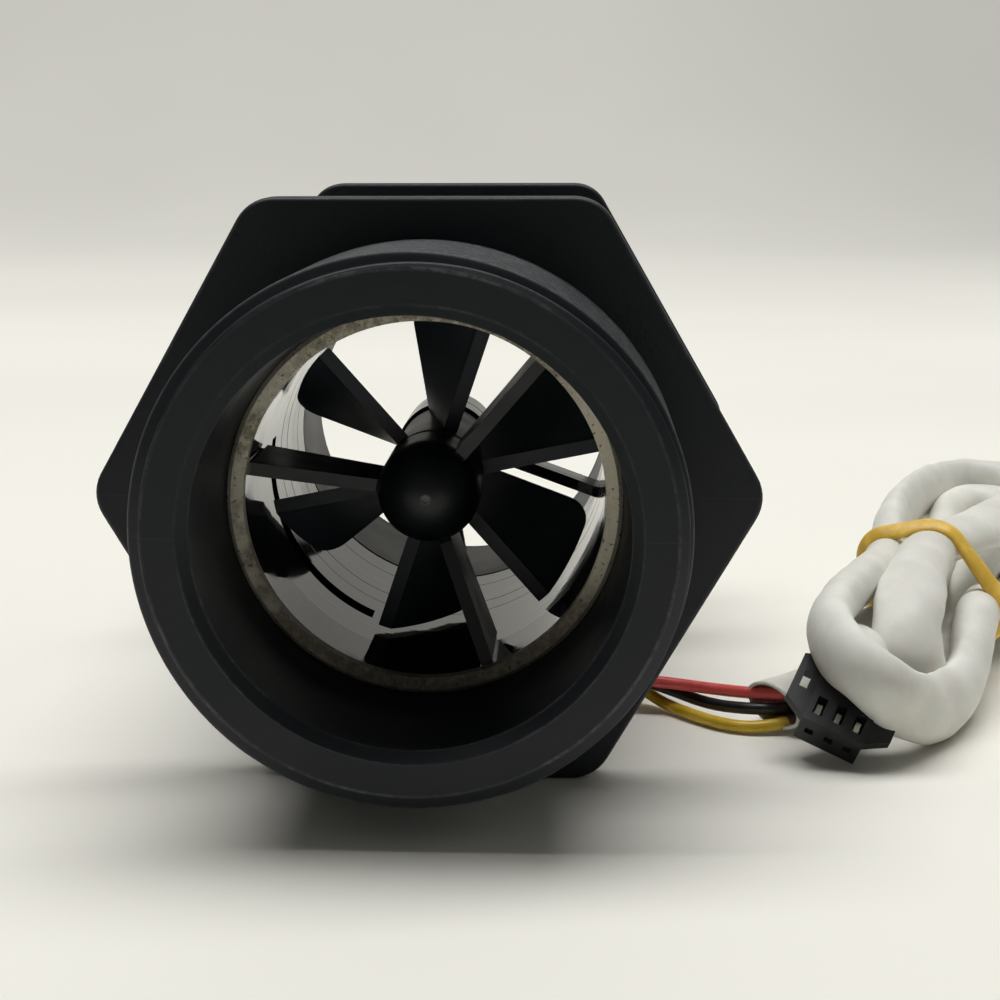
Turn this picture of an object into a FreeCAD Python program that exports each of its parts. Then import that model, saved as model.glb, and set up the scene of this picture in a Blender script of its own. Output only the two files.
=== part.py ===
"""Turbine flow meter with two pipe-threaded ends, a bladed rotor between two spiders and a
Hall-effect pick-up under the barrel.

Frame: millimetres, +Z up. The origin is the middle of the body on the flow axis, which runs
along Y from the inlet (-Y) to the outlet (+Y). The meter rests on the lower flats of its two
hexagon plates. Angles round the flow axis are counted from +X towards +Z.
"""
import FreeCAD, Part
import math
import os

os.makedirs("parts", exist_ok=True)

# ---- body: hexagon plates, threaded stubs, barrel ----
flat_width = 69.0  # across the flats of the hexagon plates
plate_thickness = 4.0
plate_span = 64.0  # between the outer faces of the two plates
plate_corner_radius = 5.0
plate_edge_radius = 0.6
stub_length = 22.8  # from a plate's outer face to the end of the stub
thread_radius = 29.8  # major radius of the two-inch pipe thread
stub_chamfer_length = 1.0
stub_chamfer_depth = 1.6
barrel_radius = 27.5
mouth_radius = 23.3
mouth_chamfer = 1.2
outlet_recess_radius = 26.0
outlet_chamfer = 1.0
cartridge_inset = 19.3  # from the inlet face to the retaining ring
outlet_inset = 19.3  # from the outlet face to the end of the inner bore
bore_radius = 21.8  # inner bore behind the cartridge
bore_draft = 0.25  # growth of that radius towards the outlet

# ---- cartridge: rings stacked in the body's pocket ----
pocket_radius = 22.9
ring_fit = 0.06  # radial clearance of every ring in the pocket
stack_fit = 0.12  # axial gap between stacked rings
retaining_ring_length = 1.5
retaining_ring_bore = 20.9
retaining_ring_chamfer = 0.5
inlet_ring_length = 9.6
inlet_ring_bore = 21.0
rotor_tube_length = 9.0
rotor_tube_bore = 21.15
joint_gap = 0.4
spacer_length = 18.0
spacer_bore = 21.3
spacer_notch_depth = 3.5
spacer_notch_start = 170.0
spacer_notch_end = 246.0
outlet_ring_length = 11.4
outlet_ring_bore = 21.6
seal_radius = 0.65
seal_room = 1.6  # axial room of the seal ring

# ---- spiders ----
arm_count = 3
arm_thickness = 1.5
arm_tail_clearance = 0.3
inlet_arm_angle = 50.0
inlet_arm_length = 12.0
inlet_arm_sweep = 3.4  # how far the front edge falls back at the hub
inlet_hub_radius = 6.1
nose_length = 5.6
nose_setback = 0.4
nose_dimple_radius = 0.45
nose_dimple_depth = 0.25
outlet_arm_angle = -20.0
outlet_arm_length = 5.0
outlet_arm_end = 1.6  # from the arms' rear edge to the end of the outlet ring
outlet_hub_radius = 6.5
outlet_hub_length = 14.0
outlet_dome_length = 4.5

# ---- rotor ----
blade_count = 6
blade_angle = 11.3  # leading edge of one blade
blade_twist = 28.0
blade_length = 14.0
blade_thickness = 1.7
blade_tip_radius = 20.5
blade_tip_rounding = 3.0
blade_front_gap = 2.1  # from the hub's front face to the blades
rotor_hub_radius = 6.1
rotor_hub_length = 19.4
rotor_hub_rounding = 0.6
hub_gap = 0.8  # between a spider's hub and the rotor's hub
magnet_length = 9.0
magnet_radius = 4.75
magnet_bore = 1.9
magnet_fit = 0.05
cap_length = 2.4
shaft_radius = 1.5
shaft_bore_fit = 0.02
running_fit = 0.03
shaft_overlap = 5.0  # how far the shaft reaches into each spider's hub
bush_length = 5.4
bush_radius = 2.5
bush_fit = 0.02
washer_radius = 3.0
washer_thickness = 0.4

# ---- pick-up housing under the barrel ----
box_half_width = 17.0
box_front = -22.0
box_length = 30.0
box_wall = 2.0
box_corner_radius = 2.0
cover_thickness = 1.4
housing_depth = 6.9  # from the barrel's lowest line to the cover's outside
cover_corner_radius = 1.5
gasket_thickness = 0.5
boss_radius = 2.6
boss_inset = 3.8
screw_radius = 1.0
screw_head_radius = 1.9
screw_head_length = 0.9
screw_length = 5.6
screw_fit = 0.06
screw_socket_width = 0.5
screw_socket_depth = 0.4

# ---- circuit board ----
board_half_width = 10.0
board_front = -15.5
board_length = 17.0
board_thickness = 1.2
board_drop = 2.7  # from the barrel's lowest line to the board
pillar_radius = 2.0
pillar_across = 7.4
pillar_inset = 2.4
board_screw_head_radius = 1.7
board_screw_head_length = 0.8
board_screw_length = 3.0
chip_width = 4.1
chip_length = 3.1
chip_height = 1.5
chip_place = -11.0
chip_lead_pitch = 1.27
chip_lead_width = 0.4
chip_lead_reach = 2.2
capacitor_size = (2.0, 1.25, 0.9)
capacitor_place = (-4.0, -5.0)
resistor_size = (3.2, 1.6, 0.55)
resistor_place = (4.0, -9.5)

# ---- grommet, wires and sleeve ----
wire_radius = 0.8
wire_pitch = 1.85
wire_hole_fit = 0.05
grommet_place = -4.0
grommet_drop = 2.6  # from the barrel's lowest line to the grommet's middle
grommet_half_width = 3.0
grommet_half_height = 1.7
grommet_inside = 1.5
grommet_outside = 2.6
grommet_fit = 0.05
sleeve_radius = 2.9

# ---- connector ----
way_count = 3
way_pitch = 2.54
housing_side_wall = 0.15
housing_length = 11.0
housing_thickness = 5.0
wing_reach = 2.9
wing_start = 0.6
wing_flare = 1.9
wing_thickness = 1.4
wing_drop = 0.7
wing_slot_width = 1.0
wing_slot_length = 2.4
wire_room = 3.0  # depth of the wire holes in the back of the housing
wire_reach = 1.5  # from the back of the housing to the hank
pin_hole_size = 1.1
window_width = 1.25
window_length = 2.6
window_start = 1.2
contact_width = 0.9
contact_front = 1.0
contact_rear = 3.2  # from the contact to the back of the housing
contact_drop = 1.0
connector_fit = 0.3  # clearance of the hank round the housing
connector_yaw = -14.5
connector_pitch = 21.7
connector_roll = 38.3
connector_corner = (51.6, -25.65)  # where its lowest corner stands

# ---- derived places ----
half_span = plate_span / 2
half_length = half_span + stub_length
flat_height = -flat_width / 2
stack_front = -half_length + cartridge_inset
bore_end = half_length - outlet_inset
inlet_ring_front = stack_front + retaining_ring_length
inlet_ring_end = inlet_ring_front + inlet_ring_length
rotor_tube_front = inlet_ring_end + stack_fit
rotor_tube_end = rotor_tube_front + rotor_tube_length
spacer_front = rotor_tube_end + joint_gap
spacer_end = spacer_front + spacer_length
outlet_ring_front = spacer_end + stack_fit
outlet_ring_end = outlet_ring_front + outlet_ring_length
shoulder = outlet_ring_end + seal_room
ring_radius = pocket_radius - ring_fit
inlet_hub_end = inlet_ring_front + inlet_arm_length
rotor_front = inlet_hub_end + hub_gap
rotor_end = rotor_front + rotor_hub_length
outlet_hub_front = rotor_end + hub_gap
outlet_arm_rear = outlet_ring_end - outlet_arm_end
blade_front = rotor_front + blade_front_gap
cover_low = -barrel_radius - housing_depth
cover_top = cover_low + cover_thickness
rim_height = cover_top + gasket_thickness
board_top = -barrel_radius - board_drop
board_low = board_top - board_thickness
grommet_height = -barrel_radius - grommet_drop
housing_width = way_count * way_pitch + 2 * housing_side_wall


def vec(x, y, z):
    return FreeCAD.Vector(x, y, z)


def write(node, shape):
    """Writes one node's solids to its own file."""
    shape.exportStep("parts/" + node + ".step")


def revolved(profile):
    """A closed outline of (radius, y) points turned about the flow axis."""
    points = [vec(radius, y, 0) for radius, y in profile]
    face = Part.Face(Part.makePolygon(points + points[:1]))
    return face.revolve(vec(0, 0, 0), vec(0, 1, 0), 360)


def tube(inner, outer, front, end):
    """A plain ring on the flow axis."""
    return revolved([(inner, front), (outer, front), (outer, end), (inner, end)])


def rod(radius, front, end):
    """A round bar on the flow axis."""
    return Part.makeCylinder(radius, end - front, vec(0, front, 0), vec(0, 1, 0))


def block(low, high):
    """A box between two corners."""
    return Part.makeBox(high[0] - low[0], high[1] - low[1], high[2] - low[2], vec(*low))


def turned(shape, angle):
    """A copy turned about the flow axis, counted from +X towards +Z."""
    copy = shape.copy()
    copy.rotate(vec(0, 0, 0), vec(0, -1, 0), angle)
    return copy


def edges_along(shape, axis):
    """The straight edges that run along one axis."""
    found = []
    for edge in shape.Edges:
        if len(edge.Vertexes) == 2 and edge.Curve.TypeId == "Part::GeomLine":
            run = edge.Vertexes[1].Point - edge.Vertexes[0].Point
            if abs(run.normalize().dot(axis)) > 0.999:
                found.append(edge)
    return found


def rounded_block(low, high, radius):
    """A box whose four upright edges are rounded."""
    box = block(low, high)
    return box.makeFillet(radius, edges_along(box, vec(0, 0, 1)))


def upright(radius, x, y, low, high):
    """A round bar that stands along Z."""
    return Part.makeCylinder(radius, high - low, vec(x, y, low))


def group(solids):
    return Part.makeCompound(solids)


# ---- body ----
def hexagon_plate(front):
    """One hexagon plate, its corners at left and right, with rounded corners and rims."""
    corner = flat_width / 2 / math.cos(math.radians(30))
    points = []
    for index in range(7):
        angle = math.radians(60 * index)
        points.append(vec(corner * math.cos(angle), front, corner * math.sin(angle)))
    plate = Part.Face(Part.makePolygon(points)).extrude(vec(0, plate_thickness, 0))
    plate = plate.makeFillet(plate_corner_radius, edges_along(plate, vec(0, 1, 0)))
    rims = []
    for edge in plate.Edges:
        depths = [vertex.Point.y for vertex in edge.Vertexes]
        if max(depths) - min(depths) < 0.001:
            rims.append(edge)
    return plate.makeFillet(plate_edge_radius, rims)


def body_outside():
    """The two stubs and the barrel as one turned shape."""
    face_radius = thread_radius - stub_chamfer_depth
    chamfer_end = half_length - stub_chamfer_length
    plate_inside = half_span - plate_thickness / 2
    return revolved([
        (0, -half_length),
        (face_radius, -half_length),
        (thread_radius, -chamfer_end),
        (thread_radius, -plate_inside),
        (barrel_radius, -plate_inside),
        (barrel_radius, plate_inside),
        (thread_radius, plate_inside),
        (thread_radius, chamfer_end),
        (face_radius, half_length),
        (0, half_length),
    ])


def flow_passage():
    """Everything that is bored out of the body along the flow axis."""
    return revolved([
        (0, -half_length),
        (mouth_radius + mouth_chamfer, -half_length),
        (mouth_radius, -half_length + mouth_chamfer),
        (pocket_radius, stack_front),
        (pocket_radius, shoulder),
        (bore_radius, shoulder),
        (bore_radius + bore_draft, bore_end),
        (outlet_recess_radius, bore_end),
        (outlet_recess_radius, half_length - outlet_chamfer),
        (outlet_recess_radius + outlet_chamfer, half_length),
        (0, half_length),
    ])


def boss_places():
    """The centres of the four cover screws."""
    across = box_half_width - boss_inset
    ends = (box_front + boss_inset, box_front + box_length - boss_inset)
    return [(x, y) for x in (-across, across) for y in ends]


def pillar_places():
    """The centres of the board's screws."""
    ends = (board_front + pillar_inset, board_front + board_length - pillar_inset)
    return [(-pillar_across, ends[0]), (pillar_across, ends[1])]


def grommet_profile(grow, left, right):
    """The grommet's flat oval, grown by a clearance, between two places along X."""
    height = grommet_half_height + grow
    reach = grommet_half_width - grommet_half_height
    low = (left, grommet_place - reach, grommet_height - height)
    high = (right, grommet_place + reach, grommet_height + height)
    oval = block(low, high)
    for side in (-reach, reach):
        centre = vec(left, grommet_place + side, grommet_height)
        oval = oval.fuse(Part.makeCylinder(height, right - left, centre, vec(1, 0, 0)))
    return oval.removeSplitter()


def meter_body():
    """The one-piece moulding that carries everything else."""
    outside = body_outside()
    outside = outside.fuse(hexagon_plate(-half_span))
    outside = outside.fuse(hexagon_plate(half_span - plate_thickness))
    low = (-box_half_width, box_front, rim_height)
    high = (box_half_width, box_front + box_length, -barrel_radius / 2)
    housing = rounded_block(low, high, box_corner_radius)
    inner_low = (low[0] + box_wall, low[1] + box_wall, low[2] - 1)
    inner_high = (high[0] - box_wall, high[1] - box_wall, high[2] + 1)
    cavity = block(inner_low, inner_high)
    for x, y in boss_places():
        cavity = cavity.cut(upright(boss_radius, x, y, rim_height - 1, 0))
    for x, y in pillar_places():
        cavity = cavity.cut(upright(pillar_radius, x, y, board_top, 0))
    housing = housing.cut(cavity)
    for x, y in boss_places():
        hole_top = cover_low + screw_length + screw_fit
        housing = housing.cut(upright(screw_radius + screw_fit, x, y, rim_height - 1, hole_top))
    body = outside.fuse(housing)
    for x, y in pillar_places():
        hole_top = board_low - board_screw_head_length + board_screw_length + screw_fit
        body = body.cut(upright(screw_radius + screw_fit, x, y, board_top - 1, hole_top))
    inside_wall = box_half_width - box_wall
    body = body.cut(grommet_profile(grommet_fit, inside_wall - 0.5, box_half_width + 0.5))
    return body.cut(flow_passage()).removeSplitter()


# ---- cartridge ----
def retaining_ring():
    """The metal ring that closes the cartridge at the inlet."""
    outer = ring_radius
    lip = retaining_ring_chamfer
    return revolved([
        (retaining_ring_bore, stack_front),
        (outer - lip, stack_front),
        (outer, stack_front + lip),
        (outer, inlet_ring_front),
        (retaining_ring_bore, inlet_ring_front),
    ])


def domed_hub(radius, front, end, dome):
    """A hub whose front end is rounded to a dome."""
    pull = 0.5523  # handle length that makes a quarter curve near elliptical
    rim = vec(radius, front + dome, 0)
    tip = vec(0, front, 0)
    curve = Part.BezierCurve()
    curve.setPoles([tip, vec(pull * radius, front, 0), vec(radius, front + dome * (1 - pull), 0), rim])
    side = Part.makePolygon([rim, vec(radius, end, 0), vec(0, end, 0), tip])
    face = Part.Face(Part.Wire([curve.toShape()] + side.Edges))
    return face.revolve(vec(0, 0, 0), vec(0, 1, 0), 360)


def arm(profile):
    """A flat arm from an outline of (radius, y) points, lying along +X."""
    points = [vec(radius, y, -arm_thickness / 2) for radius, y in profile]
    face = Part.Face(Part.makePolygon(points + points[:1]))
    return face.extrude(vec(0, 0, arm_thickness))


def spider(hub, ring, profile, first_angle):
    """A hub and a ring joined by equally spaced arms."""
    solid = hub.fuse(ring)
    for index in range(arm_count):
        solid = solid.fuse(turned(arm(profile), first_angle + index * 360 / arm_count))
    return solid.removeSplitter()


def inlet_spider():
    """The bullet-nosed front spider, bored for its bush."""
    nose_tip = inlet_ring_front + nose_setback
    hub = domed_hub(inlet_hub_radius, nose_tip, inlet_hub_end, nose_length)
    ring = tube(inlet_ring_bore, ring_radius, inlet_ring_front, inlet_ring_end)
    inside_ring = (inlet_ring_bore + ring_radius) / 2
    tail_radius = inlet_ring_bore - arm_tail_clearance
    profile = [
        (inlet_hub_radius * 0.6, inlet_ring_front + inlet_arm_sweep + nose_length / 3),
        (inlet_hub_radius, inlet_ring_front + inlet_arm_sweep),
        (inlet_ring_bore, inlet_ring_front),
        (inside_ring, inlet_ring_front),
        (inside_ring, inlet_ring_end),
        (tail_radius, inlet_ring_end),
        (tail_radius, inlet_hub_end),
        (inlet_hub_radius * 0.6, inlet_hub_end),
    ]
    solid = spider(hub, ring, profile, inlet_arm_angle)
    pocket = rod(bush_radius + bush_fit, inlet_hub_end - bush_length, inlet_hub_end + 1)
    dimple = rod(nose_dimple_radius, nose_tip - 1, nose_tip + nose_dimple_depth)
    return solid.cut(pocket).cut(dimple)


def outlet_spider():
    """The rear spider, with its dome towards the outlet."""
    end = outlet_hub_front + outlet_hub_length
    dome = domed_hub(outlet_hub_radius, 0, outlet_hub_length, outlet_dome_length)
    dome.rotate(vec(0, 0, 0), vec(0, 0, 1), 180)
    dome.translate(vec(0, end, 0))
    ring = tube(outlet_ring_bore, ring_radius, outlet_ring_front, outlet_ring_end)
    inside_ring = (outlet_ring_bore + ring_radius) / 2
    profile = [
        (outlet_hub_radius * 0.6, outlet_arm_rear - outlet_arm_length),
        (inside_ring, outlet_arm_rear - outlet_arm_length),
        (inside_ring, outlet_arm_rear),
        (outlet_hub_radius * 0.6, outlet_arm_rear),
    ]
    solid = spider(dome, ring, profile, outlet_arm_angle)
    front = outlet_hub_front
    return solid.cut(rod(bush_radius + bush_fit, front - 1, front + bush_length))


def spacer_tube():
    """The long ring behind the rotor tube, notched where it keys to the body."""
    ring = tube(spacer_bore, ring_radius, spacer_front, spacer_end)
    face = Part.Face(Part.makePolygon([
        vec(spacer_bore - 1, spacer_front - 1, 0),
        vec(ring_radius + 1, spacer_front - 1, 0),
        vec(ring_radius + 1, spacer_front + spacer_notch_depth, 0),
        vec(spacer_bore - 1, spacer_front + spacer_notch_depth, 0),
        vec(spacer_bore - 1, spacer_front - 1, 0),
    ]))
    notch = face.revolve(vec(0, 0, 0), vec(0, -1, 0), spacer_notch_end - spacer_notch_start)
    return ring.cut(turned(notch, spacer_notch_start))


def seal_ring():
    """The round-section seal between the last ring and the body's shoulder."""
    middle = (pocket_radius + bore_radius) / 2
    place = outlet_ring_end + seal_room / 2
    section = min(seal_radius, (pocket_radius - bore_radius) / 2)
    return Part.makeTorus(middle, section, vec(0, place, 0), vec(0, 1, 0))


def bush(front):
    """A plain bearing bush pressed into a spider's hub."""
    return tube(shaft_radius + running_fit, bush_radius, front, front + bush_length)


# ---- rotor ----
def blade_section(distance):
    """The blade's radial slab outline at a distance behind its leading edge."""
    y = blade_front + distance
    half = blade_thickness / 2
    inner = magnet_radius + (rotor_hub_radius - magnet_radius) / 2
    outer = blade_tip_radius + 1
    corners = [(inner, -half), (outer, -half), (outer, half), (inner, half), (inner, -half)]
    wire = Part.makePolygon([vec(x, y, z) for x, z in corners])
    wire.rotate(vec(0, 0, 0), vec(0, -1, 0), blade_twist * distance / blade_length)
    return wire


def blade():
    """One helical blade: a radial slab whose angle grows evenly along the flow axis."""
    steps = 4
    sections = [blade_section(blade_length * index / steps) for index in range(steps + 1)]
    slab = Part.makeLoft(sections, True)
    rear = blade_front + blade_length
    tip = blade_tip_radius
    round_off = blade_tip_rounding
    slope = round_off * (1 - math.cos(math.radians(45)))
    corner = Part.Arc(
        vec(tip, rear - round_off, 0), vec(tip - slope, rear - slope, 0), vec(tip - round_off, rear, 0)
    ).toShape()
    sides = Part.makePolygon([
        vec(tip - round_off, rear, 0),
        vec(0, rear, 0),
        vec(0, blade_front, 0),
        vec(tip, blade_front, 0),
        vec(tip, rear - round_off, 0),
    ])
    envelope = Part.Face(Part.Wire([corner] + sides.Edges))
    return slab.common(envelope.revolve(vec(0, 0, 0), vec(0, 1, 0), 360))


def rotor():
    """The hub with its ring of helical blades, open at the rear for the magnet."""
    hub = rod(rotor_hub_radius, rotor_front, rotor_end)
    rims = [edge for edge in hub.Edges if edge.Curve.TypeId == "Part::GeomCircle"]
    solid = hub.makeFillet(rotor_hub_rounding, rims)
    one = blade()
    for index in range(blade_count):
        solid = solid.fuse(turned(one, blade_angle + index * 360 / blade_count))
    pocket_front = rotor_end - cap_length - magnet_length - magnet_fit
    solid = solid.cut(rod(magnet_radius + magnet_fit, pocket_front, rotor_end + 1))
    return solid.cut(rod(shaft_radius + shaft_bore_fit, rotor_front - 1, rotor_end + 1))


def rotor_magnet():
    end = rotor_end - cap_length
    return tube(magnet_bore, magnet_radius, end - magnet_length, end)


def magnet_cap():
    """The lid that closes the magnet's pocket."""
    return tube(shaft_radius + shaft_bore_fit, magnet_radius, rotor_end - cap_length, rotor_end)


def rotor_shaft():
    return rod(shaft_radius, inlet_hub_end - shaft_overlap, outlet_hub_front + shaft_overlap)


def thrust_washers():
    """One washer at each end of the rotor's hub."""
    inner = shaft_radius + running_fit
    front = tube(inner, washer_radius, rotor_front - washer_thickness, rotor_front)
    rear = tube(inner, washer_radius, rotor_end, rotor_end + washer_thickness)
    return group([front, rear])


# ---- pick-up housing ----
def cover_plate(low, high):
    """A plate of the housing's outline between two heights."""
    corner_low = (-box_half_width, box_front, low)
    corner_high = (box_half_width, box_front + box_length, high)
    return rounded_block(corner_low, corner_high, cover_corner_radius)


def sensor_cover():
    """The flat cover, countersunk for its four screws."""
    plate = cover_plate(cover_low, cover_top)
    for x, y in boss_places():
        plate = plate.cut(upright(screw_radius + 2 * screw_fit, x, y, cover_low - 1, cover_top + 1))
        head = screw_head_radius + screw_fit
        seat = screw_head_length + screw_fit
        sink = Part.makeCone(head, screw_radius + screw_fit, seat, vec(x, y, cover_low))
        plate = plate.cut(sink)
    return plate


def cover_gasket():
    """The gasket on the housing's rim, with ears round the screws."""
    sheet = cover_plate(cover_top, rim_height)
    inset = box_wall
    low = (-box_half_width + inset, box_front + inset, cover_top - 1)
    high = (box_half_width - inset, box_front + box_length - inset, rim_height + 1)
    window = block(low, high)
    for x, y in boss_places():
        window = window.cut(upright(boss_radius, x, y, cover_top - 1, rim_height + 1))
    sheet = sheet.cut(window)
    for x, y in boss_places():
        hole = upright(screw_radius + 2 * screw_fit, x, y, cover_top - 1, rim_height + 1)
        sheet = sheet.cut(hole)
    return sheet


def cover_screws():
    """Four countersunk screws with a cross-shaped socket."""
    screws = []
    for x, y in boss_places():
        low = cover_low + screw_fit
        head = Part.makeCone(screw_head_radius, screw_radius, screw_head_length, vec(x, y, low))
        screw = head.fuse(upright(screw_radius, x, y, low, cover_low + screw_length))
        for across, along in ((1, 0), (0, 1)):
            half = screw_socket_width / 2
            reach = screw_head_radius * 0.6
            dx = reach * across + half * along
            dy = reach * along + half * across
            slot = block((x - dx, y - dy, low - 1), (x + dx, y + dy, low + screw_socket_depth))
            screw = screw.cut(slot)
        screws.append(screw)
    return group(screws)


def circuit_board():
    """The board with its two screw holes."""
    low = (-board_half_width, board_front, board_low)
    high = (board_half_width, board_front + board_length, board_top)
    board = block(low, high)
    for x, y in pillar_places():
        board = board.cut(upright(screw_radius + screw_fit, x, y, board_low - 1, board_top + 1))
    return board


def board_screws():
    """Two pan-head screws that hold the board to its pillars."""
    screws = []
    for x, y in pillar_places():
        low = board_low - board_screw_head_length
        head = upright(board_screw_head_radius, x, y, low, board_low)
        screws.append(head.fuse(upright(screw_radius, x, y, low, low + board_screw_length)))
    return group(screws)


def hall_chip():
    """The magnetic pick-up on top of the board, with its three leads."""
    low = (-chip_width / 2, chip_place - chip_length / 2, board_top)
    high = (chip_width / 2, chip_place + chip_length / 2, board_top + chip_height)
    chip = block(low, high)
    for index in (-1, 0, 1):
        x = index * chip_lead_pitch
        lead_low = (x - chip_lead_width / 2, high[1], board_top)
        lead_high = (x + chip_lead_width / 2, high[1] + chip_lead_reach, board_top + chip_lead_width)
        chip = chip.fuse(block(lead_low, lead_high))
    return chip


def small_part(size, place):
    """A chip part on the underside of the board."""
    width, length, height = size
    x, y = place
    low = (x - width / 2, y - length / 2, board_low - height)
    return block(low, (x + width / 2, y + length / 2, board_low))


# ---- wires, sleeve and hank ----
def wire_places():
    """Where each wire's centre crosses the grommet, along Y."""
    return [grommet_place + (index - 1) * wire_pitch for index in range(way_count)]


def cable_grommet():
    """The flat oval grommet that the three wires leave the housing through."""
    left = box_half_width - box_wall - grommet_inside
    right = box_half_width + grommet_outside
    body = grommet_profile(0, left, right)
    for y in wire_places():
        start = vec(left - 1, y, grommet_height)
        hole = Part.makeCylinder(wire_radius + wire_hole_fit, right - left + 2, start, vec(1, 0, 0))
        body = body.cut(hole)
    return body


def board_leads():
    """The wires' inner ends, from the board through the grommet."""
    leads = []
    left = board_half_width
    right = box_half_width + grommet_outside
    for y in wire_places():
        start = vec(left, y, grommet_height)
        leads.append(Part.makeCylinder(wire_radius, right - left, start, vec(1, 0, 0)))
    return group(leads)


def cord(name, points, radius):
    """A tube along straight runs joined by tangent arcs, each as large as its runs allow."""
    points = [vec(*point) for point in points]
    edges = []
    last = points[0]
    length = 0.0
    radii = []
    for index in range(1, len(points) - 1):
        corner = points[index]
        back = points[index - 1] - corner
        ahead = points[index + 1] - corner
        run = min(back.Length, ahead.Length)
        back = back.normalize()
        ahead = ahead.normalize()
        turn = math.pi - back.getAngle(ahead)
        bend = 0.45 * run / math.tan(turn / 2)
        start = corner + back * (0.45 * run)
        end = corner + ahead * (0.45 * run)
        inward = (back + ahead).normalize()
        middle = corner + inward * (bend / math.cos(turn / 2) - bend)
        edges.append(Part.LineSegment(last, start).toShape())
        edges.append(Part.Arc(start, middle, end).toShape())
        length += (start - last).Length + bend * turn
        radii.append(round(bend, 1))
        last = end
    edges.append(Part.LineSegment(last, points[-1]).toShape())
    length += (points[-1] - last).Length
    heading = points[1] - points[0]
    circle = Part.Wire(Part.makeCircle(radius, points[0], heading))
    tube_solid = Part.Wire(edges).makePipeShell([circle], True, True)
    ratio = tube_solid.Volume / (math.pi * radius * radius * length)
    print(name, "length", round(length, 1), "radii", radii, "volume ratio", round(ratio, 4))
    return tube_solid


wire_exit = box_half_width + grommet_outside
red_route = [
    (wire_exit, grommet_place - wire_pitch, grommet_height),
    (25.0, -5.85, -30.1),
    (30.4, -6.6, -30.4),
    (36.0, -9.0, -30.4),
    (41.0, -12.2, -29.9),
    (45.3, -12.3, -29.9),
    (48.9, -9.6, -30.6),
]
black_route = [
    (wire_exit, grommet_place, grommet_height),
    (24.6, -4.0, -30.1),
    (29.8, -5.0, -31.6),
    (35.2, -9.4, -32.4),
    (40.4, -13.2, -31.7),
    (44.8, -13.4, -31.5),
    (48.4, -10.4, -32.2),
]
yellow_route = [
    (wire_exit, grommet_place + wire_pitch, grommet_height),
    (24.0, -2.15, -30.1),
    (28.0, -3.8, -33.3),
    (31.8, -9.0, -33.6),
    (37.0, -14.2, -33.6),
    (41.4, -15.4, -33.5),
    (44.9, -14.5, -33.0),
]
lead_route = [
    (43.0, -14.4, -31.3),
    (47.2, -9.6, -31.5),
    (51.4, -4.4, -31.6),
    (56.6, 0.2, -31.5),
    (62.4, 4.0, -30.6),
]

# each station of the hank: centre, width, height, how far its width leans below the level
hank_stations = [
    ((53.2, -29.6, -25.6), 7.0, 4.4, 42.0),
    ((55.2, -25.0, -26.0), 15.0, 6.6, 42.0),
    ((57.6, -17.0, -25.2), 24.4, 8.4, 41.0),
    ((61.4, -7.0, -24.8), 26.6, 11.6, 36.0),
    ((65.2, 3.0, -24.2), 22.6, 14.6, 30.0),
    ((68.6, 13.0, -24.4), 18.6, 16.6, 20.0),
    ((73.0, 27.0, -24.4), 22.0, 19.6, 10.0),
    ((79.6, 47.0, -23.8), 30.0, 21.0, 0.0),
    ((85.4, 65.0, -24.8), 28.0, 19.0, 0.0),
    ((88.6, 75.0, -26.4), 14.0, 12.0, 0.0),
]
stations_before_waist_count = 5
hank_side_count = 28
band_width = 1.9
band_thickness = 0.9


def hank_heading(index):
    """The hank's level direction at one station."""
    before = vec(*hank_stations[max(index - 1, 0)][0])
    after = vec(*hank_stations[min(index + 1, len(hank_stations) - 1)][0])
    heading = after - before
    heading.z = 0
    return heading.normalize()


def hank_oval(index, grow, shift):
    """A leaning many-sided oval across the hank at one station."""
    centre, width, height, lean = hank_stations[index]
    heading = hank_heading(index)
    middle = vec(*centre) + heading * shift
    across = FreeCAD.Rotation(heading, lean).multVec(heading.cross(vec(0, 0, 1)))
    upward = across.cross(heading)
    points = []
    for side in range(hank_side_count + 1):
        angle = 2 * math.pi * side / hank_side_count
        sideways = across * ((width / 2 + grow) * math.cos(angle))
        points.append(middle + sideways + upward * ((height / 2 + grow) * math.sin(angle)))
    return Part.makePolygon(points)


def cable_hank():
    """The outer shape of the folded and tied sleeve, with room for the connector under its loop."""
    ovals = [hank_oval(index, 0, 0) for index in range(len(hank_stations))]
    shape = Part.makeLoft(ovals, True, True)
    side = wing_reach + connector_fit
    low = (-side, -housing_length, -housing_thickness - connector_fit)
    high = (housing_width + side, housing_length + wire_reach, connector_fit)
    return shape.cut(placed_connector(block(low, high)))


def rubber_band():
    """The band round the hank's waist."""
    step = hank_heading(stations_before_waist_count) * band_width
    outline = Part.Face(hank_oval(stations_before_waist_count, band_thickness, -band_width / 2))
    return outline.extrude(step).cut(cable_hank())


# ---- connector ----
def placed_connector(shape):
    """Turns a shape from the connector's own frame to where it leans on the hank.

    In its own frame x runs across the ways, y from the mating face back and z out of the
    window side.
    """
    rotation = FreeCAD.Rotation(connector_yaw, connector_pitch, connector_roll)
    lowest = rotation.multVec(vec(housing_width, 0, -housing_thickness))
    x, y = connector_corner
    base = vec(x, y, flat_height) - lowest
    return shape.transformGeometry(FreeCAD.Placement(base, rotation).toMatrix())


def way_centre(index):
    return housing_side_wall + (index + 0.5) * way_pitch


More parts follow.
